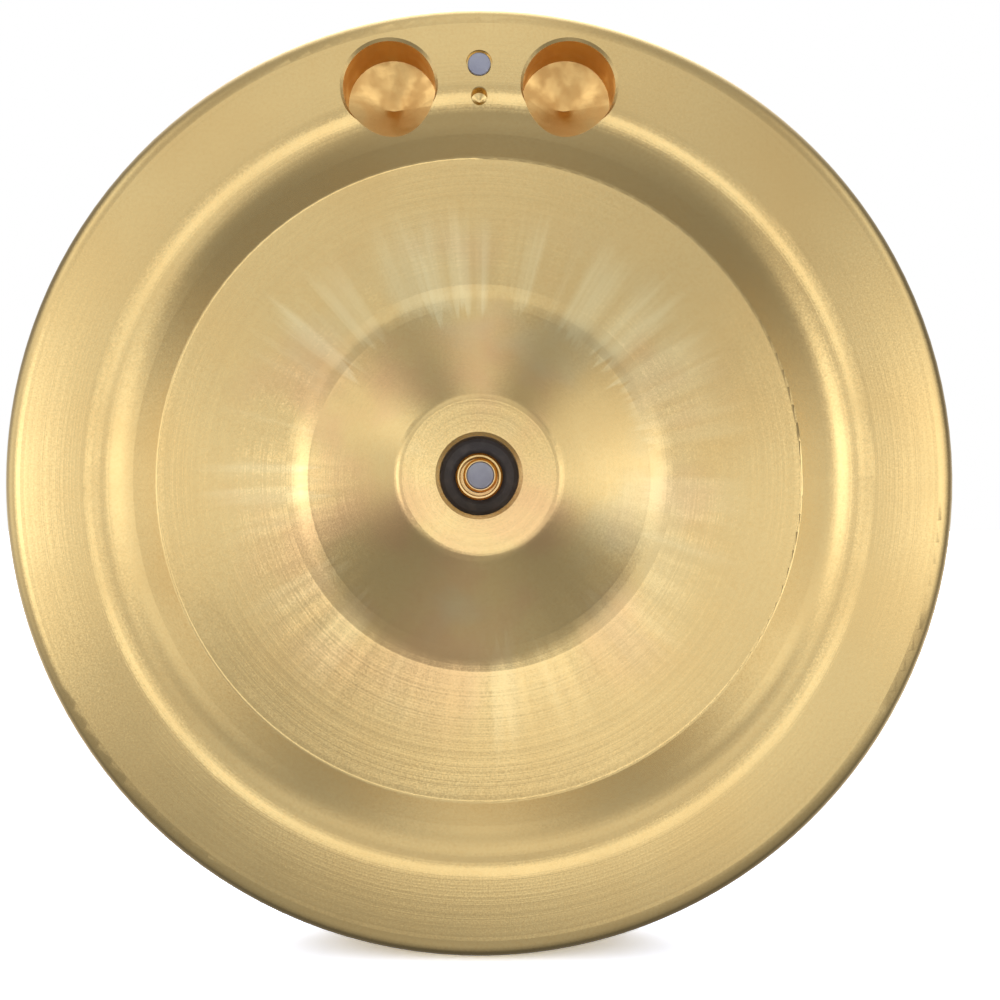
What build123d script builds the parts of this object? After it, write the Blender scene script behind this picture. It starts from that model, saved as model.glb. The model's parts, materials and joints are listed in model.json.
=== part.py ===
from build123d import *
import math
import os

# Dished brass handwheel that turns on a sealed two-bearing hub about a fixed hollow spindle.
# Millimetres. The wheel's axis runs along Y and its face looks towards -Y, with +Z up.
# The origin is the centre of the mounting flange's rear face, and "forward" means along -Y.

# Centre bolt and the fittings in the spindle's mouth, which set the spindle's size
bolt_radius = 3.0
bolt_head_overhang = 2.0
bolt_head_height = 3.3
bolt_head_sink = 0.3
bolt_socket_width = 4.0
bolt_socket_depth = 2.0
bolt_end_chamfer = 0.25
bolt_end_sink = 0.7       # bolt end behind the tube's mouth
bolt_clearance = 0.45
bolt_shift = 0.38         # the bolt sits this far off centre in its clearance hole
bolt_shift_angle = 50.0
washer_overhang = 3.0
washer_thickness = 0.8
washer_gap = 0.5          # between the bolt's washer and its pocket
collar_wall = 0.65
collar_length = 3.0
collar_sink = 1.0
collar_chamfer = 0.45
collar_gap = 0.4          # between the collar and the tube's counterbore
spring_slot_angle = 12.0
spring_slot_width = 0.5

# Spindle tube and mounting flange
tube_wall = 0.95          # round the counterbore in its mouth
tube_depth = 8.2          # tube mouth behind the hub's top
tube_reach = 1.4          # tube mouth in front of the seal
tube_socket = 2.6         # length of tube held in the flange's nose
tube_counterbore = 4.8
tube_chamfer = 0.4
flange_radius = 30.0
flange_thickness = 5.0
flange_rear_chamfer = 0.5
flange_front_chamfer = 0.8
flange_hole_orbit = 23.0
flange_hole_count = 3
flange_hole_radius = 1.65
nose_wall = 1.25

# Ball bearings, one size used twice
bearing_section = 4.5     # from bore to outside
bearing_width = 5.0
ball_radius = 1.19
ball_count = 11
race_gap = 0.06           # free play between a ball and its groove
land_offset = 0.95        # each ring's land stands this far from the balls' orbit
cage_gap = 0.25
cage_width = 3.6
ring_chamfer = 0.3
spacer_length = 2.0
spacer_wall = 0.9

# Bearing housing, behind the wheel
housing_wall = 3.0
housing_lip = 1.0
housing_lip_width = 1.2
housing_flange_width = 8.5
housing_flange_thickness = 3.0
housing_flange_set = 0.6  # the housing's flange starts this far forward of the rear bearing
housing_tail_wall = 2.5
housing_tail = 2.6        # housing behind the rear bearing
housing_gap = 1.7         # between the housing and the mounting flange
screw_inset = 4.0         # screw centres in from the flange's edge
screw_count = 3
screw_radius = 1.5
screw_length = 9.0
screw_head_radius = 2.8
screw_socket = 2.0
screw_clearance = 0.2

# Rings that hold the bearings, and seals
circlip_thickness = 1.0
circlip_bite = 0.5        # depth of the housing's groove
circlip_width = 1.7
circlip_ear = 1.2
circlip_ear_hole = 0.5
circlip_gap = 1.6
circlip_spread = 30.0     # angle between its ears
spindle_circlip_bite = 0.2
spindle_circlip_width = 1.6
spindle_circlip_ear = 0.9
spindle_circlip_ear_hole = 0.4
spindle_circlip_gap = 1.4
spindle_circlip_spread = 34.0
shield_thickness = 0.8
shield_seat = 0.9
shield_gap = 0.25
seal_section = 3.15       # from the tube to the hub's bore
seal_thickness = 2.0
seal_running_gap = 0.05
seal_gap = 1.9            # between the spindle's circlip and the seal
seal_lip_height = 0.4
seal_lip_width = 0.9
seal_lip_slope = 0.6
seal_edge_width = 0.7
seal_edge_drop = 0.2

# Wheel
wheel_radius = 100.0
rim_thickness = 24.0
rim_width = 22.9          # from the edge to where the rim's face and the dish slope would meet
rim_front_round = 4.8
rim_crown = 0.25          # the rim's face is crowned by this much across its width
rim_back_round = 2.5
shoulder_round = 13.6
dish_depth = 7.9
dish_slope_run = 7.6
dish_corner_round = 0.8
floor_rise = 0.5          # the dish floor climbs this much on its way to the hub
pocket_inset = 26.0       # the rim's back is this wide
pocket_slope_run = 7.0
pocket_round = 2.0

# Hub nose of the wheel
hub_height = 3.8          # how far the hub stands forward of the rim's face
hub_wall = 8.55           # from the bore to the corner of the hub's top
hub_top_round = 3.4
hub_flank_run = 22.5
hub_foot_round = 14.0
flank_hollow = 0.6        # how far the hub's flank is hollowed from a straight cone
nose_bore_chamfer = 0.8

# Finger cups, index pin and stop hole in the rim
cup_radius = 9.75
cup_depth = 10.0
cup_inset = 15.9
cup_angle = 13.0
cup_chamfer = 0.6
drill_angle = 140.0
index_pin_radius = 2.42
index_pin_length = 9.6
index_pin_sink = 0.3
index_pin_inset = 13.25
index_pin_chamfer = 0.15
index_relief = 0.36
index_relief_depth = 0.9
stop_hole_radius = 1.75
stop_hole_depth = 3.0
stop_hole_inset = 20.1
stop_hole_chamfer = 0.28

# Radii that follow from the sizes above, from the bolt outwards
bolt_hole_radius = bolt_radius + bolt_clearance
bolt_head_radius = bolt_radius + bolt_head_overhang
washer_radius = bolt_radius + washer_overhang
collar_radius = bolt_radius + collar_wall
tube_counterbore_radius = collar_radius + collar_gap
tube_radius = tube_counterbore_radius + tube_wall
nose_radius = tube_radius + nose_wall
bearing_outer_radius = tube_radius + bearing_section
ball_orbit = (tube_radius + bearing_outer_radius) / 2
outer_land_radius = ball_orbit + land_offset
inner_land_radius = ball_orbit - land_offset
housing_radius = bearing_outer_radius + housing_wall
housing_lip_radius = bearing_outer_radius - housing_lip_width
housing_flange_radius = housing_radius + housing_flange_width
housing_tail_radius = bearing_outer_radius + housing_tail_wall
screw_orbit = housing_flange_radius - screw_inset
nose_bore_radius = tube_radius + seal_section
hub_top_radius = nose_bore_radius + hub_wall
hub_foot_radius = hub_top_radius + hub_flank_run
rim_land_inner = wheel_radius - rim_width
dish_radius = rim_land_inner - dish_slope_run
rim_pocket_radius = wheel_radius - pocket_inset
web_rear_radius = rim_pocket_radius - pocket_slope_run
cup_orbit = wheel_radius - cup_inset
index_pin_orbit = wheel_radius - index_pin_inset
stop_hole_orbit = wheel_radius - stop_hole_inset
bolt_x = bolt_shift * math.cos(math.radians(bolt_shift_angle))
bolt_z = bolt_shift * math.sin(math.radians(bolt_shift_angle))

# Stations along the axis, measured forward of the mounting face
housing_rear = flange_thickness + housing_gap
rear_bearing_back = housing_rear + housing_tail
front_bearing_back = rear_bearing_back + bearing_width + spacer_length
front_bearing_front = front_bearing_back + bearing_width
housing_front = front_bearing_front + housing_lip
housing_flange_rear = rear_bearing_back + housing_flange_set
web_rear = housing_flange_rear + housing_flange_thickness
seal_front = front_bearing_front + circlip_thickness + seal_gap + seal_thickness
tube_mouth = seal_front + tube_reach
hub_top = tube_mouth + tube_depth
rim_face = hub_top - hub_height
rim_back = rim_face - rim_thickness
dish_floor = rim_face - dish_depth
tube_back = rear_bearing_back - tube_socket
bolt_pocket = bolt_head_sink + bolt_head_height + washer_thickness


def turning_plane(x=0.0, z=0.0):
    """Plane of a turned profile: local x is the radius and local y runs forward."""
    return Plane(origin=(x, 0, z), x_dir=(1, 0, 0), z_dir=(0, 0, -1))


def turning_axis(x=0.0, z=0.0):
    """Axis that a turned profile goes round."""
    return Axis((x, 0, z), (0, 1, 0))


def facing(station):
    """Plane across the wheel's axis at a station, looking forward, with local y up."""
    return Plane(origin=(0, -station, 0), x_dir=(1, 0, 0), z_dir=(0, -1, 0))


def on_clock(orbit, angle):
    """Point at a distance from the axis, its angle counted clockwise from the top."""
    turn = math.radians(angle)
    return orbit * math.sin(turn), orbit * math.cos(turn)


def save(piece, name):
    """Label a finished piece and write it to its own file."""
    piece.part.label = name
    export_step(piece.part, f"parts/{name}.step")


def turned(points, x=0.0, z=0.0):
    """Solid turned from a closed outline of (radius, forward) points."""
    with BuildPart() as blank:
        with BuildSketch(turning_plane(x, z)):
            with BuildLine():
                Polyline(*points, close=True)
            make_face()
        revolve(axis=turning_axis(x, z))
    return blank.part


def drilled(x, z, radius, depth, chamfer_size, top):
    """Blind hole with a chamfered mouth and a drill-point bottom, as a solid to cut away."""
    point = radius / math.tan(math.radians(drill_angle / 2))
    clear = 2 * chamfer_size
    outline = [
        (0, top - depth - point),
        (radius, top - depth),
        (radius, top - chamfer_size),
        (radius + chamfer_size + clear, top + clear),
        (0, top + clear),
    ]
    return turned(outline, x, z)


def ring(inner, outer, back, front, chamfer_size=0.0):
    """Plain turned ring with equal chamfers on its outer corners."""
    outline = [(inner, back), (outer, back), (outer, front), (inner, front)]
    if chamfer_size > 0:
        outline[1:3] = [
            (outer - chamfer_size, back),
            (outer, back + chamfer_size),
            (outer, front - chamfer_size),
            (outer - chamfer_size, front),
        ]
    return turned(outline)


def make_wheel_disc():
    """Dished wheel turned from solid brass, with its hub nose, cups and holes."""
    foot_height = dish_floor + floor_rise
    rim_edge = rim_face - rim_crown
    chord = math.hypot(hub_foot_radius - hub_top_radius, hub_top - foot_height)
    middle_r = (hub_foot_radius + hub_top_radius) / 2
    middle_f = (foot_height + hub_top) / 2
    sag_r = flank_hollow * (hub_top - foot_height) / chord
    sag_f = flank_hollow * (hub_foot_radius - hub_top_radius) / chord
    with BuildPart() as wheel:
        with BuildSketch(turning_plane()) as section:
            with BuildLine():
                Polyline(
                    (hub_top_radius, hub_top),
                    (nose_bore_radius + nose_bore_chamfer, hub_top),
                    (nose_bore_radius, hub_top - nose_bore_chamfer),
                    (nose_bore_radius, housing_front),
                    (housing_radius, housing_front),
                    (housing_radius, web_rear),
                    (web_rear_radius, web_rear),
                    (rim_pocket_radius, rim_back),
                    (wheel_radius, rim_back),
                    (wheel_radius, rim_edge),
                )
                ThreePointArc(
                    (wheel_radius, rim_edge),
                    ((wheel_radius + rim_land_inner) / 2, rim_face),
                    (rim_land_inner, rim_edge),
                )
                Polyline(
                    (rim_land_inner, rim_edge),
                    (dish_radius, dish_floor),
                    (hub_foot_radius, foot_height),
                )
                ThreePointArc(
                    (hub_foot_radius, foot_height),
                    (middle_r - sag_r, middle_f - sag_f),
                    (hub_top_radius, hub_top),
                )
            make_face()
            rounds = [
                (hub_top_radius, hub_top, hub_top_round),
                (hub_foot_radius, foot_height, hub_foot_round),
                (dish_radius, dish_floor, dish_corner_round),
                (rim_land_inner, rim_edge, shoulder_round),
                (wheel_radius, rim_edge, rim_front_round),
                (wheel_radius, rim_back, rim_back_round),
                (rim_pocket_radius, rim_back, pocket_round),
                (web_rear_radius, web_rear, pocket_round),
            ]
            for radius, station, size in rounds:
                nearest = section.vertices().sort_by_distance((radius, station, 0))[0]
                fillet(nearest, radius=size)
        revolve(axis=turning_axis())
        for side in (-1, 1):
            x, z = on_clock(cup_orbit, side * cup_angle)
            cup = drilled(x, z, cup_radius, cup_depth, cup_chamfer, rim_face)
            add(cup, mode=Mode.SUBTRACT)
        stop_hole = drilled(0, stop_hole_orbit, stop_hole_radius, stop_hole_depth,
                            stop_hole_chamfer, rim_face)
        add(stop_hole, mode=Mode.SUBTRACT)
        with BuildSketch(facing(rim_face)):
            with Locations((0, index_pin_orbit)):
                Circle(index_pin_radius + index_relief)
        extrude(amount=-index_relief_depth, mode=Mode.SUBTRACT)
        with BuildSketch(facing(rim_face)):
            with Locations((0, index_pin_orbit)):
                Circle(index_pin_radius)
        extrude(amount=-(index_pin_sink + index_pin_length), mode=Mode.SUBTRACT)
        with BuildSketch(facing(web_rear)):
            with PolarLocations(screw_orbit, screw_count, start_angle=90):
                Circle(screw_radius)
        extrude(amount=screw_length - housing_flange_thickness, mode=Mode.SUBTRACT)
    save(wheel, "wheel_disc")


def make_index_pin():
    """Steel dowel pressed into the rim between the two cups."""
    with BuildPart() as pin:
        with BuildSketch(facing(rim_face - index_pin_sink)):
            with Locations((0, index_pin_orbit)):
                Circle(index_pin_radius)
        extrude(amount=-index_pin_length)
        chamfer(pin.faces().sort_by(Axis.Y)[0].edges(), length=index_pin_chamfer)
    save(pin, "index_pin")


def make_front_seal():
    """Rubber ring in the hub's bore whose lip runs on the spindle tube."""
    lip = tube_radius + seal_running_gap
    back = seal_front - seal_thickness
    with BuildPart() as seal:
        add(turned([
            (lip, back + seal_lip_height),
            (lip, seal_front - seal_lip_height),
            (lip + seal_lip_width, seal_front),
            (nose_bore_radius - seal_edge_width, seal_front),
            (nose_bore_radius, seal_front - seal_edge_drop),
            (nose_bore_radius, back),
            (lip + seal_lip_slope, back),
        ]))
    save(seal, "front_seal")


def make_bearing_housing():
    """Flanged sleeve screwed to the wheel's back, which holds both bearings."""
    groove_back = rear_bearing_back - circlip_thickness
    groove = bearing_outer_radius + circlip_bite
    shield_edge = bearing_outer_radius + shield_seat
    seat_front = housing_rear + shield_thickness
    sink = screw_head_radius - screw_radius
    hole = screw_radius + screw_clearance
    with BuildPart() as housing:
        add(turned([
            (housing_lip_radius, housing_front),
            (housing_radius, housing_front),
            (housing_radius, web_rear),
            (housing_flange_radius, web_rear),
            (housing_flange_radius, housing_flange_rear),
            (housing_tail_radius, housing_flange_rear),
            (housing_tail_radius, housing_rear),
            (shield_edge, housing_rear),
            (shield_edge, seat_front),
            (bearing_outer_radius, seat_front),
            (bearing_outer_radius, groove_back),
            (groove, groove_back),
            (groove, rear_bearing_back),
            (bearing_outer_radius, rear_bearing_back),
            (bearing_outer_radius, front_bearing_front),
            (housing_lip_radius, front_bearing_front),
        ]))
        for place in PolarLocations(screw_orbit, screw_count, start_angle=90):
            x, z = place.position.X, place.position.Y
            add(turned([
                (0, housing_flange_rear),
                (screw_head_radius, housing_flange_rear),
                (hole, housing_flange_rear + sink - screw_clearance),
                (hole, web_rear),
                (0, web_rear),
            ], x, z), mode=Mode.SUBTRACT)
    save(housing, "bearing_housing")


def make_housing_screws():
    """Countersunk screws that hold the housing to the wheel."""
    sink = screw_head_radius - screw_radius
    end = housing_flange_rear + screw_length
    with BuildPart() as screws:
        for place in PolarLocations(screw_orbit, screw_count, start_angle=90):
            x, z = place.position.X, place.position.Y
            add(turned([
                (0, housing_flange_rear),
                (screw_head_radius, housing_flange_rear),
                (screw_radius, housing_flange_rear + sink),
                (screw_radius, end),
                (0, end),
            ], x, z))
        with BuildSketch(facing(housing_flange_rear)):
            with PolarLocations(screw_orbit, screw_count, start_angle=90):
                RegularPolygon(screw_socket / 2, 6, major_radius=False)
        extrude(amount=sink, mode=Mode.SUBTRACT)
    save(screws, "housing_screws")


def make_bearing(name, back):
    """Deep-groove ball bearing whose rear face is at the given station."""
    front = back + bearing_width
    middle = (back + front) / 2
    groove = ball_radius + race_gap
    with BuildPart() as outer:
        add(ring(outer_land_radius, bearing_outer_radius, back, front, ring_chamfer))
        with Locations(facing(middle)):
            Torus(ball_orbit, groove, mode=Mode.SUBTRACT)
    save(outer, f"{name}_outer_ring")
    with BuildPart() as inner:
        add(ring(tube_radius, inner_land_radius, back, front))
        with Locations(facing(middle)):
            Torus(ball_orbit, groove, mode=Mode.SUBTRACT)
    save(inner, f"{name}_inner_ring")
    with BuildPart(facing(middle)) as balls:
        with PolarLocations(ball_orbit, ball_count, start_angle=90):
            Sphere(ball_radius)
    save(balls, f"{name}_balls")
    with BuildPart() as cage:
        add(ring(inner_land_radius + cage_gap, outer_land_radius - cage_gap,
                 middle - cage_width / 2, middle + cage_width / 2))
        with Locations(facing(middle)):
            with PolarLocations(ball_orbit, ball_count, start_angle=90):
                Cylinder(groove, bearing_section, rotation=(0, 90, 0), mode=Mode.SUBTRACT)
    save(cage, f"{name}_cage")


def make_spacers():
    """Short rings that hold the two bearings apart."""
    back = rear_bearing_back + bearing_width
    with BuildPart() as outer:
        add(ring(bearing_outer_radius - spacer_wall, bearing_outer_radius, back, front_bearing_back))
    save(outer, "outer_spacer")
    with BuildPart() as inner:
        add(ring(tube_radius, tube_radius + spacer_wall, back, front_bearing_back))
    save(inner, "inner_spacer")


def make_circlips():
    """Sprung rings: one in the housing behind the bearings, one on the spindle before them."""
    groove = bearing_outer_radius + circlip_bite
    with BuildPart() as inside:
        with BuildSketch(facing(rear_bearing_back - circlip_thickness)):
            Circle(groove)
            Circle(groove - circlip_width, mode=Mode.SUBTRACT)
            with PolarLocations(groove - circlip_width, 2, start_angle=-90 - circlip_spread / 2,
                                angular_range=circlip_spread, endpoint=True):
                Circle(circlip_ear)
                Circle(circlip_ear_hole, mode=Mode.SUBTRACT)
            with Locations((0, -groove)):
                Rectangle(circlip_gap, 3 * circlip_width, mode=Mode.SUBTRACT)
        extrude(amount=circlip_thickness)
    save(inside, "housing_circlip")
    seat = tube_radius - spindle_circlip_bite
    ear_orbit = seat + spindle_circlip_width
    with BuildPart() as outside:
        with BuildSketch(facing(front_bearing_front)):
            Circle(ear_orbit)
            with PolarLocations(ear_orbit, 2, start_angle=-90 - spindle_circlip_spread / 2,
                                angular_range=spindle_circlip_spread, endpoint=True):
                Circle(spindle_circlip_ear)
                Circle(spindle_circlip_ear_hole, mode=Mode.SUBTRACT)
            Circle(seat, mode=Mode.SUBTRACT)
            with Locations((0, -ear_orbit)):
                Rectangle(spindle_circlip_gap, 3 * spindle_circlip_width, mode=Mode.SUBTRACT)
        extrude(amount=circlip_thickness)
    save(outside, "spindle_circlip")


def make_rear_shield():
    """Thin plate that closes the housing's rear end around the flange's nose."""
    with BuildPart() as shield:
        add(ring(nose_radius + shield_gap, bearing_outer_radius + shield_seat,
                 housing_rear, housing_rear + shield_thickness))
    save(shield, "rear_shield")


def make_spindle_tube():
    """Fixed hollow spindle that both inner rings sit on."""
    groove = tube_radius - spindle_circlip_bite
    with BuildPart() as tube:
        add(turned([
            (bolt_hole_radius, tube_back),
            (tube_radius, tube_back),
            (tube_radius, front_bearing_front),
            (groove, front_bearing_front),
            (groove, front_bearing_front + circlip_thickness),
            (tube_radius, front_bearing_front + circlip_thickness),
            (tube_radius, tube_mouth - tube_chamfer),
            (tube_radius - tube_chamfer, tube_mouth),
            (tube_counterbore_radius + tube_chamfer / 2, tube_mouth),
            (tube_counterbore_radius, tube_mouth - tube_chamfer / 2),
            (tube_counterbore_radius, tube_mouth - tube_counterbore),
            (bolt_hole_radius, tube_mouth - tube_counterbore),
        ]))
    save(tube, "spindle_tube")


def make_mounting_flange():
    """Round flange that fastens to the machine, with a nose for the spindle tube."""
    with BuildPart() as flange:
        add(turned([
            (washer_radius + washer_gap, 0),
            (flange_radius - flange_rear_chamfer, 0),
            (flange_radius, flange_rear_chamfer),
            (flange_radius, flange_thickness - flange_front_chamfer),
            (flange_radius - flange_front_chamfer, flange_thickness),
            (nose_radius, flange_thickness),
            (nose_radius, rear_bearing_back),
            (tube_radius, rear_bearing_back),
            (tube_radius, tube_back),
            (bolt_hole_radius, tube_back),
            (bolt_hole_radius, bolt_pocket),
            (washer_radius + washer_gap, bolt_pocket),
        ]))
        with BuildSketch(facing(0)):
            with PolarLocations(flange_hole_orbit, flange_hole_count, start_angle=90):
                Circle(flange_hole_radius)
        extrude(amount=flange_thickness, mode=Mode.SUBTRACT)
    save(flange, "mounting_flange")


def make_centre_bolt():
    """Bolt that draws the spindle tube into the flange, its end showing in the tube's mouth."""
    end = tube_mouth - bolt_end_sink
    head_front = bolt_head_sink + bolt_head_height
    with BuildPart() as bolt:
        add(turned([
            (0, bolt_head_sink),
            (bolt_head_radius, bolt_head_sink),
            (bolt_head_radius, head_front),
            (bolt_radius, head_front),
            (bolt_radius, end - bolt_end_chamfer),
            (bolt_radius - bolt_end_chamfer, end),
            (0, end),
        ], bolt_x, bolt_z))
        with BuildSketch(facing(bolt_head_sink)):
            with Locations((bolt_x, bolt_z)):
                RegularPolygon(bolt_socket_width / 2, 6, major_radius=False)
        extrude(amount=bolt_socket_depth, mode=Mode.SUBTRACT)
    save(bolt, "centre_bolt")


def make_bolt_fittings():
    """Round nut and split washer in the tube's mouth, and the washer under the bolt's head."""
    nut_front = tube_mouth - collar_sink
    nut_back = nut_front - collar_length
    with BuildPart() as collar:
        add(turned([
            (bolt_radius, nut_back),
            (collar_radius, nut_back),
            (collar_radius, nut_front - collar_chamfer),
            (collar_radius - collar_chamfer, nut_front),
            (bolt_radius, nut_front),
        ], bolt_x, bolt_z))
    save(collar, "bolt_collar")
    seat = tube_mouth - tube_counterbore
    with BuildPart() as spring:
        with BuildSketch(facing(seat)):
            with Locations((bolt_x, bolt_z)):
                Circle(collar_radius)
                Circle(bolt_radius, mode=Mode.SUBTRACT)
            with Locations(Location((bolt_x, bolt_z, 0), (0, 0, spring_slot_angle))):
                with Locations((collar_radius, 0)):
                    Rectangle(collar_radius, spring_slot_width, mode=Mode.SUBTRACT)
        extrude(amount=nut_back - seat)
    save(spring, "spring_washer")
    with BuildPart() as washer:
        add(turned([
            (bolt_radius, bolt_pocket - washer_thickness),
            (washer_radius, bolt_pocket - washer_thickness),
            (washer_radius, bolt_pocket),
            (bolt_radius, bolt_pocket),
        ], bolt_x, bolt_z))
    save(washer, "bolt_washer")


os.makedirs("parts", exist_ok=True)
make_wheel_disc()
make_index_pin()
make_front_seal()
make_bearing_housing()
make_housing_screws()
make_bearing("front_bearing", front_bearing_back)
make_bearing("rear_bearing", rear_bearing_back)
make_spacers()
make_circlips()
make_rear_shield()
make_spindle_tube()
make_mounting_flange()
make_centre_bolt()
make_bolt_fittings()
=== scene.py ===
import json
import math
import bpy
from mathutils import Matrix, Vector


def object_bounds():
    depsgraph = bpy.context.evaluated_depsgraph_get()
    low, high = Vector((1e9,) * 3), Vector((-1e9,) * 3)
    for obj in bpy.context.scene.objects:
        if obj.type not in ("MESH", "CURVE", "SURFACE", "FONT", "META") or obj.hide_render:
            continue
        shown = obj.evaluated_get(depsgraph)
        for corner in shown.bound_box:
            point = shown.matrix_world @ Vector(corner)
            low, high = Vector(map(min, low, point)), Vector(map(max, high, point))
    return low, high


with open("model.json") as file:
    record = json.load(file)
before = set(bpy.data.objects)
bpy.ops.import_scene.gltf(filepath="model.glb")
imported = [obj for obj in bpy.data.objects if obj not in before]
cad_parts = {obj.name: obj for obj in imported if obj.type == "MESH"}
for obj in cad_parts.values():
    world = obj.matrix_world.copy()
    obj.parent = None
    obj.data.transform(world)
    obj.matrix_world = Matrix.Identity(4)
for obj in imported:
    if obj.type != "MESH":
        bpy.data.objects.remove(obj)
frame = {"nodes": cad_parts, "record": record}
cadBox = [list(corner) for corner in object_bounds()]
print("frame loaded with", len(frame["nodes"]), "nodes")


class Wire:  # a shader socket that takes part in sums
    def __init__(self, tree, socket):
        self.tree = tree
        self.socket = socket

    def maths(self, operation, first, second):
        return self.tree.maths(operation, first, second)

    def __add__(self, other):
        return self.maths("ADD", self, other)

    def __radd__(self, other):
        return self.maths("ADD", other, self)

    def __sub__(self, other):
        return self.maths("SUBTRACT", self, other)

    def __rsub__(self, other):
        return self.maths("SUBTRACT", other, self)

    def __mul__(self, other):
        return self.maths("MULTIPLY", self, other)

    def __rmul__(self, other):
        return self.maths("MULTIPLY", other, self)


class Tree:  # a node tree that is filled one node at a time
    def __init__(self, nodeTree):
        self.nodeTree = nodeTree
        nodeTree.nodes.clear()

    def node(self, kind, settings=None, values=None, out=0):
        made = self.nodeTree.nodes.new(kind)
        for name, value in (settings or {}).items():
            setattr(made, name, value)
        pairs = values.items() if isinstance(values, dict) else enumerate(values or [])
        for key, value in pairs:
            if isinstance(value, Wire):
                self.nodeTree.links.new(value.socket, made.inputs[key])
            else:
                made.inputs[key].default_value = value
        return Wire(self, made.outputs[out]) if len(made.outputs) else None

    def maths(self, operation, *values):
        return self.node("ShaderNodeMath", {"operation": operation}, values)

    def vector(self, operation, *values, out=0):
        return self.node("ShaderNodeVectorMath", {"operation": operation}, values, out)

    def parts(self, vector):  # x, y and z of a vector
        split = self.node("ShaderNodeSeparateXYZ", None, [vector]).socket.node
        return [Wire(self, output) for output in split.outputs]

    def mixColour(self, factor, first, second):
        return self.node("ShaderNodeMix", {"data_type": "RGBA"}, {0: factor, 6: first, 7: second}, out=2)

    def eased(self, value, low, high, outLow=0.0, outHigh=1.0):
        return self.node("ShaderNodeMapRange", {"interpolation_type": "SMOOTHSTEP"},
                         [value, low, high, outLow, outHigh])

    def noise(self, vector, scale, detail, out=0):
        return self.node("ShaderNodeTexNoise", None,
                         {"Vector": vector, "Scale": scale, "Detail": detail}, out)

    def lineNoise(self, value, scale, detail):
        return self.node("ShaderNodeTexNoise", {"noise_dimensions": "1D"},
                         {"W": value, "Scale": scale, "Detail": detail})

    def blotches(self, vector, scale, detail, low, high, most):  # cloudy mask from 0 to most
        return self.eased(self.noise(vector, scale, detail), low, high, 0.0, most)


def newMaterial(name):
    material = bpy.data.materials.new(name)
    material.use_nodes = True
    return material, Tree(material.node_tree)


def finishMaterial(tree, values):
    shader = tree.node("ShaderNodeBsdfPrincipled", None, values)
    tree.node("ShaderNodeOutputMaterial", None, [shader])


def aboutAxis(tree):  # where a point lies about the wheel's axis, which runs along Y
    place = tree.node("ShaderNodeTexCoord", out=3)
    x, depth, z = tree.parts(place)
    radius = tree.maths("SQRT", x * x + z * z)
    outward = tree.vector("NORMALIZE", tree.node("ShaderNodeCombineXYZ", None, [x, 0.0, z]))
    return place, radius, outward, depth


def tipNormal(tree, tilt, direction, normal=None):  # leans the surface normal along a direction
    base = normal or tree.node("ShaderNodeNewGeometry", out=1)
    lean = tree.node("ShaderNodeVectorMath", {"operation": "SCALE"}, {0: direction, 3: tilt})
    return tree.vector("NORMALIZE", tree.vector("ADD", base, lean))


def turningCuts(tree, distance, perMetre):  # one random value for each turn of the tool
    cut = tree.maths("FLOOR", distance * perMetre)
    return tree.node("ShaderNodeTexWhiteNoise", {"noise_dimensions": "1D"}, {"W": cut})


def grainNormal(tree, place, scale, detail, tilt, normal=None):  # tips the normal every way at random
    grain = tree.vector("SUBTRACT", tree.noise(place, scale, detail, out=1), (0.5, 0.5, 0.5))
    return tipNormal(tree, tilt, grain, normal)


turnedBrass = {
    "colour": (0.80, 0.60, 0.275, 1),
    "warm": (0.76, 0.525, 0.215, 1),
    "roughness": 0.23,
    "roughnessLess": 0.03,    # the most that cloudy patches take off the roughness
    "roughnessMore": 0.04,    # and add to it
    "cutsPerMetre": 7000,
    "cutTilt": 0.02,          # how far the turning cuts tip the surface, in and out
    "bandScale": 900.0,       # slower waves among the cuts
    "grainScale": 2600.0,
    "grainTilt": 0.11,        # the fine satin grain left by blasting
    "tarnish": (28.0, 4.0, 0.35, 0.75, 0.6),  # scale, detail, where it starts and fills, strength
    "speck": (1500.0, 3.0, 0.35, 0.8, 0.5),
    "frontDepth": -0.016,     # the cups' colour and the painted highlight streaks are only in front of this
}
# radial streaks: a slow lean of the normal, plus pale painted highlight streaks in the colour that stand
# in for lamps glinting on the turned face
streaksAndPaintedGlints = {
    "tilt": 0.07,             # slow radial streaks left by wiping
    "scale": 13.0,
    "inside": (0.022, 0.034),  # the radii over which they start
    "outside": (0.064, 0.044),  # and over which they fade
    # the colour of the painted highlight streaks
    "paintedGlintColour": (0.93, 0.77, 0.42, 1),
    "paintedGlints": (5.0, 5.0, 0.44, 0.6, 0.95),
    "patchInside": (0.0345, 0.0375),  # the painted highlight streaks run from the hub's foot outwards
    "patchOutside": (0.0605, 0.0485),
    "raggedScale": 21.0,
    "ragged": 0.018,          # how unevenly the painted highlight streaks end
    # the painted highlight streaks are strongest on this side, towards the top, where the lamps fall
    "paintedGlintSide": (-0.25, 0, 0.97),
    "weakest": 0.3,           # their strength on the other side
}
hubStain = {
    "radii": (0.066, 0.03),   # where the stains start and where they are full
    "rosy": (0.76, 0.46, 0.24, 1),
    "rosyPatches": (34.0, 3.0, 0.45, 0.65, 0.6),
    "rosyOffset": (0.4, 0, 0),
    "green": (0.70, 0.66, 0.42, 1),
    "greenPatches": (42.0, 3.0, 0.52, 0.7, 0.28),
    "greenOffset": (0, 0.7, 0),
}
fingerCups = {
    "side": 0.01892,          # the centre of a cup, left or right of the middle
    "rise": 0.08194,          # and above the wheel's axis
    "radius": 0.00978,
    # a warmer orange painted into the cups, standing in for brass reflected in brass
    "colour": (0.88, 0.57, 0.22, 1),
    "roughness": 0.42,
    "patchScale": 240.0,
    "patchRoughness": (-0.12, 0.1),
}


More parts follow.
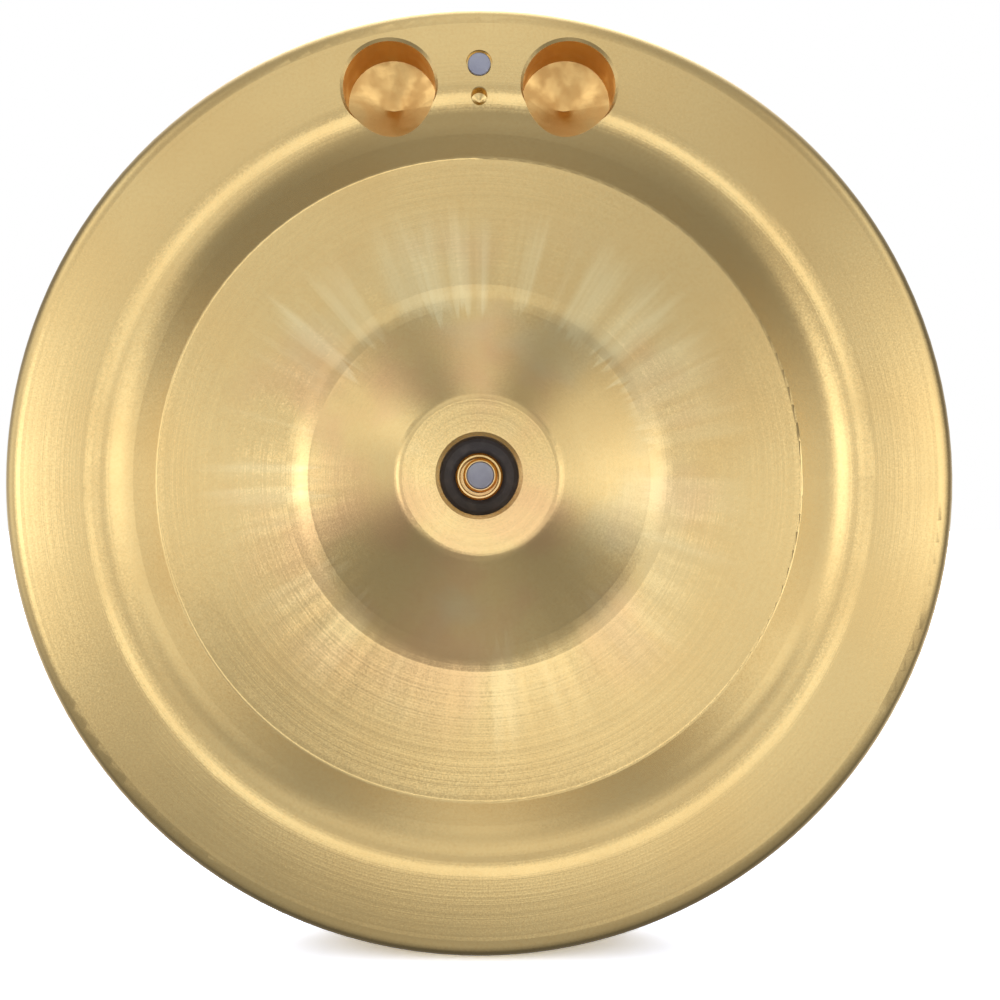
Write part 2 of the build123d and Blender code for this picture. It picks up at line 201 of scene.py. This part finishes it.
def cupMask(tree, place, cups):
    x, y, z = tree.parts(place)
    side = tree.maths("ABSOLUTE", x) - cups["side"]
    rise = z - cups["rise"]
    fromCup = tree.maths("SQRT", side * side + rise * rise)
    return tree.maths("LESS_THAN", fromCup, cups["radius"])


def makeTurnedBrass(name, values, streaks, stain, cups):
    material, tree = newMaterial(name)
    place, radius, outward, depth = aboutAxis(tree)
    line = turningCuts(tree, radius + depth, values["cutsPerMetre"])
    band = tree.lineNoise(radius, values["bandScale"], 3.0)
    cuts = (line - 0.5) * (2 * values["cutTilt"]) + (band - 0.5) * values["cutTilt"]
    wiped = tree.eased(radius, *streaks["inside"]) * tree.eased(radius, *streaks["outside"])
    sector = tree.noise(outward, streaks["scale"], 3.0)
    sectorTilt = (sector - 0.5) * wiped * (2 * streaks["tilt"])
    normal = tipNormal(tree, cuts + sectorTilt, outward)
    normal = grainNormal(tree, place, values["grainScale"], 2.0, values["grainTilt"], normal)

    front = tree.maths("LESS_THAN", depth, values["frontDepth"])
    inCup = cupMask(tree, place, cups) * front
    colour = tree.mixColour(tree.blotches(place, *values["tarnish"]), values["colour"], values["warm"])
    colour = tree.mixColour(tree.blotches(place, *values["speck"]), colour, values["warm"])
    # painted highlight: pale streaks mixed into the colour around the hub, strongest towards the top
    ragged = radius + (tree.noise(outward, streaks["raggedScale"], 2.0) - 0.5) * streaks["ragged"]
    ring = tree.eased(ragged, *streaks["patchInside"]) * tree.eased(ragged, *streaks["patchOutside"])
    toStrong = tree.vector("DOT_PRODUCT", outward, streaks["paintedGlintSide"], out=1)
    strength = tree.eased(toStrong, -0.2, 0.8, streaks["weakest"], 1.0)
    paintedGlints = tree.blotches(outward, *streaks["paintedGlints"]) * ring * strength * front
    colour = tree.mixColour(paintedGlints, colour, streaks["paintedGlintColour"])
    nearHub = tree.eased(radius, *stain["radii"])
    for tint in ("rosy", "green"):
        moved = tree.vector("ADD", place, stain[tint + "Offset"])
        cloud = tree.blotches(moved, *stain[tint + "Patches"])
        colour = tree.mixColour(cloud * nearHub, colour, stain[tint])
    # painted reflection: the cups are coloured a warmer orange, as brass mirrored in brass
    colour = tree.mixColour(inCup, colour, cups["colour"])

    rough = tree.eased(tree.noise(place, 60.0, 5.0), 0.2, 0.8,
                       values["roughness"] - values["roughnessLess"],
                       values["roughness"] + values["roughnessMore"])
    patch = tree.eased(tree.noise(place, cups["patchScale"], 2.0), 0.35, 0.65, *cups["patchRoughness"])
    rough = rough + inCup * (patch + (cups["roughness"] - values["roughness"]))
    finishMaterial(tree, {"Base Color": colour, "Metallic": 1.0, "Roughness": rough, "Normal": normal})
    return material


steels = {
    "pin_steel": {            # ground end of the index pin
        "colour": (0.25, 0.25, 0.30, 1), "worn": (0.32, 0.32, 0.36, 1), "metallic": 0.6,
        "roughness": 0.5, "lines": 3000, "lineTilt": 0.01, "grainTilt": 0.08,
    },
    "bolt_steel": {           # dull grey end of the centre bolt
        "colour": (0.26, 0.26, 0.31, 1), "worn": (0.34, 0.34, 0.38, 1), "metallic": 0.6,
        "roughness": 0.48, "lines": 4000, "lineTilt": 0.02, "grainTilt": 0.07,
    },
    "screw_steel": {          # black oxide, rubbed bright in places
        "colour": (0.10, 0.10, 0.11, 1), "worn": (0.34, 0.34, 0.35, 1), "metallic": 1.0,
        "roughness": 0.38, "lines": 5000, "lineTilt": 0.02, "grainTilt": 0.05,
    },
    "spring_steel": {         # phosphated
        "colour": (0.09, 0.09, 0.10, 1), "worn": (0.22, 0.22, 0.23, 1), "metallic": 0.9,
        "roughness": 0.5, "lines": 2500, "lineTilt": 0.01, "grainTilt": 0.09,
    },
    "cage_steel": {           # pressed and tumbled
        "colour": (0.50, 0.49, 0.47, 1), "worn": (0.62, 0.61, 0.58, 1), "metallic": 1.0,
        "roughness": 0.36, "lines": 1500, "lineTilt": 0.008, "grainTilt": 0.05,
    },
    "bearing_steel": {        # ground and honed
        "colour": (0.60, 0.60, 0.62, 1), "worn": (0.68, 0.68, 0.69, 1), "metallic": 1.0,
        "roughness": 0.16, "lines": 12000, "lineTilt": 0.02, "grainTilt": 0.01,
    },
    "housing_steel": {        # turned, left bare
        "colour": (0.46, 0.46, 0.47, 1), "worn": (0.56, 0.56, 0.56, 1), "metallic": 1.0,
        "roughness": 0.3, "lines": 5000, "lineTilt": 0.05, "grainTilt": 0.02,
    },
    "flange_steel": {         # zinc plated
        "colour": (0.55, 0.56, 0.58, 1), "worn": (0.66, 0.65, 0.60, 1), "metallic": 1.0,
        "roughness": 0.27, "lines": 3500, "lineTilt": 0.03, "grainTilt": 0.03,
    },
}
steelWear = {
    "grainScale": 2200.0,
    "cloud": (130.0, 5.0, 0.42, 0.68, 1.0),
    "speck": (1100.0, 3.0, 0.45, 0.75, 0.4),
    "wornShine": -0.06,       # what wear adds to the roughness
    "lineRoughness": 0.04,
}


def makeSteel(name, values, wear):
    material, tree = newMaterial(name)
    place, radius, outward, depth = aboutAxis(tree)
    line = turningCuts(tree, radius + depth, values["lines"])
    normal = tipNormal(tree, (line - 0.5) * (2 * values["lineTilt"]), outward)
    normal = grainNormal(tree, place, wear["grainScale"], 3.0, values["grainTilt"], normal)
    cloud = tree.blotches(place, *wear["cloud"])
    speck = tree.blotches(place, *wear["speck"])
    rubbed = tree.maths("MAXIMUM", cloud, speck)
    colour = tree.mixColour(rubbed, values["colour"], values["worn"])
    rough = rubbed * wear["wornShine"] + (line * wear["lineRoughness"] + values["roughness"])
    finishMaterial(tree, {"Base Color": colour, "Metallic": values["metallic"],
                          "Roughness": rough, "Normal": normal})
    return material


sealRubber = {
    "colour": (0.048, 0.038, 0.034, 1),
    "dust": (0.10, 0.085, 0.07, 1),
    "dustPatches": (420.0, 5.0, 0.4, 0.75, 0.7),
    "dustRoughness": 0.15,
    "ringScale": 5200.0,      # the rings left by its mould
    "ringStrength": 0.3,
    "roughness": 0.62,
    "pebbleScale": 3200.0,
    "pebble": 0.12,
}


def makeRubber(name, values):
    material, tree = newMaterial(name)
    place, radius, outward, depth = aboutAxis(tree)
    normal = grainNormal(tree, place, values["pebbleScale"], 2.0, values["pebble"])
    dusty = tree.blotches(place, *values["dustPatches"])
    ringed = tree.eased(tree.lineNoise(radius, values["ringScale"], 1.0), 0.4, 0.7,
                        0.0, values["ringStrength"])
    mark = tree.maths("MAXIMUM", dusty, ringed)
    finishMaterial(tree, {"Base Color": tree.mixColour(mark, values["colour"], values["dust"]),
                          "Roughness": mark * values["dustRoughness"] + values["roughness"],
                          "Normal": normal})
    return material


brass = makeTurnedBrass("turnedBrass", turnedBrass, streaksAndPaintedGlints, hubStain, fingerCups)
finishes = {slot: makeSteel(slot, values, steelWear) for slot, values in steels.items()}
finishes["wheel_brass"] = brass
finishes["spindle_brass"] = brass
finishes["seal_rubber"] = makeRubber("sealRubber", sealRubber)
slotOf = {entry["node"]: entry["material_slot"] for entry in frame["record"]["subparts"]}
for name, piece in frame["nodes"].items():
    piece.data.materials.clear()
    piece.data.materials.append(finishes[slotOf[name]])
print("finishes given to", len(slotOf), "pieces")

studio = {
    "room": 0.3,              # brightness of the room in front of the wheel
    "sides": 0.1,             # and level with its back, which darkens its outline
    "turn": (-0.2, 0.35),     # where the one becomes the other, from back to front
    "backdrop": 1.0,          # what the camera itself sees
    "panels": {               # azimuth, elevation and spread in degrees, and brightness
        "lens": (0, 2, 7, 0.25),
        "low": (0, -11, 6, 1.05),
        "lowRight": (9, -9, 7, 0.3),
        "right": (28, 2, 6, 0.95),
        "rightWide": (42, 0, 10, 1.1),
        "rightFar": (63, 0, 14, 0.85),
        "left": (-27, 0, 6, 0.75),
        "leftWide": (-42, 0, 10, 1.9),
        "leftFar": (-86, 0, 14, 0.8),
        "upper": (0, 26, 9, 0.42),
        "top": (0, 42, 12, 0.45),
        "high": (0, 66, 9, 0.5),
        "overhead": (180, 60, 20, 2.2),
        "behind": (180, 28, 12, 2.5),
        "bottom": (0, -50, 16, 0.2),
        "upperLeft": (-20, 18, 9, 0.5),
        "upperRight": (20, 18, 9, 0.25),
        "lowerRight": (20, -18, 9, 0.5),
        "lowerLeft": (-20, -18, 9, 0.1),
        "nearLeft": (-8, 0, 3.5, 1.8),
        "nearRight": (8, 0, 3.5, 1.2),
        "farUpperLeft": (-62, 30, 12, 0.9),
        "farUpperRight": (62, 30, 12, 0.6),
        "back": (180, 5, 30, 0.3),
        "backLeft": (-135, -15, 16, 0.9),
        "backRight": (135, -15, 16, 0.9),
    },
}


def aimed(azimuth, elevation):  # azimuth 0 is behind the camera, 90 to its right
    a, e = math.radians(azimuth), math.radians(elevation)
    return (math.sin(a) * math.cos(e), -math.cos(a) * math.cos(e), math.sin(e))


def makeStudio():
    world = bpy.data.worlds.new("studioWorld")
    world.use_nodes = True
    bpy.context.scene.world = world
    tree = Tree(world.node_tree)
    direction = tree.vector("NORMALIZE", tree.node("ShaderNodeTexCoord", out=0))
    forward = tree.parts(direction)[1] * -1
    light = tree.eased(forward, *studio["turn"], studio["sides"], studio["room"])
    for azimuth, elevation, spread, power in studio["panels"].values():
        near = tree.vector("DOT_PRODUCT", direction, aimed(azimuth, elevation), out=1)
        panel = tree.maths("EXPONENT", (near - 1.0) * (1 / math.radians(spread) ** 2))
        light = panel * power + light
    white = (1, 1, 1, 1)
    room = tree.node("ShaderNodeBackground", None, {"Color": white, "Strength": light})
    backdrop = tree.node("ShaderNodeBackground", None, {"Color": white, "Strength": studio["backdrop"]})
    seen = tree.node("ShaderNodeLightPath", out=0)
    both = tree.node("ShaderNodeMixShader", None, [seen, room, backdrop])
    tree.node("ShaderNodeOutputWorld", None, [both])


camera = {
    "lens": 35.0,
    "distance": 0.2016,       # from the lens to the rim's face
    "hubStand": 0.0038,       # how far the hub stands forward of the rim's face
    "lean": 1.576,            # degrees that the lens looks up
    "drop": 0.0056,           # below the wheel's axis
    "shift": (0.0208, -0.0237),
    "nearest": 0.01,
}


def makeCamera():
    lens = bpy.data.cameras.new("studioCamera")
    holder = bpy.data.objects.new("studioCamera", lens)
    bpy.context.collection.objects.link(holder)
    rimFace = cadBox[0][1] + camera["hubStand"]
    holder.location = (0, rimFace - camera["distance"], -camera["drop"])
    holder.rotation_euler = (math.radians(90 + camera["lean"]), 0, 0)
    lens.lens = camera["lens"]
    lens.shift_x, lens.shift_y = camera["shift"]
    lens.clip_start = camera["nearest"]
    bpy.context.scene.camera = holder


studioFloor = {
    "size": 6,
    "colour": (2.4, 2.6, 3.1, 1),  # over white, so that only the contact shadow shows
}


def makeFloor():
    bpy.ops.object.select_all(action="DESELECT")
    bpy.ops.mesh.primitive_plane_add(size=studioFloor["size"], location=(0, 0, cadBox[0][2]))
    floor = bpy.context.object
    floor.name = "floor"
    material, tree = newMaterial("floorWhite")
    plain = tree.node("ShaderNodeBsdfDiffuse", None, {"Color": studioFloor["colour"]})
    tree.node("ShaderNodeOutputMaterial", None, [plain])
    floor.visible_glossy = False  # the brass mirrors the panels below it instead
    floor.data.materials.append(material)


makeStudio()
makeCamera()
makeFloor()
bpy.context.scene.view_settings.view_transform = "Standard"
print("studio and camera set")
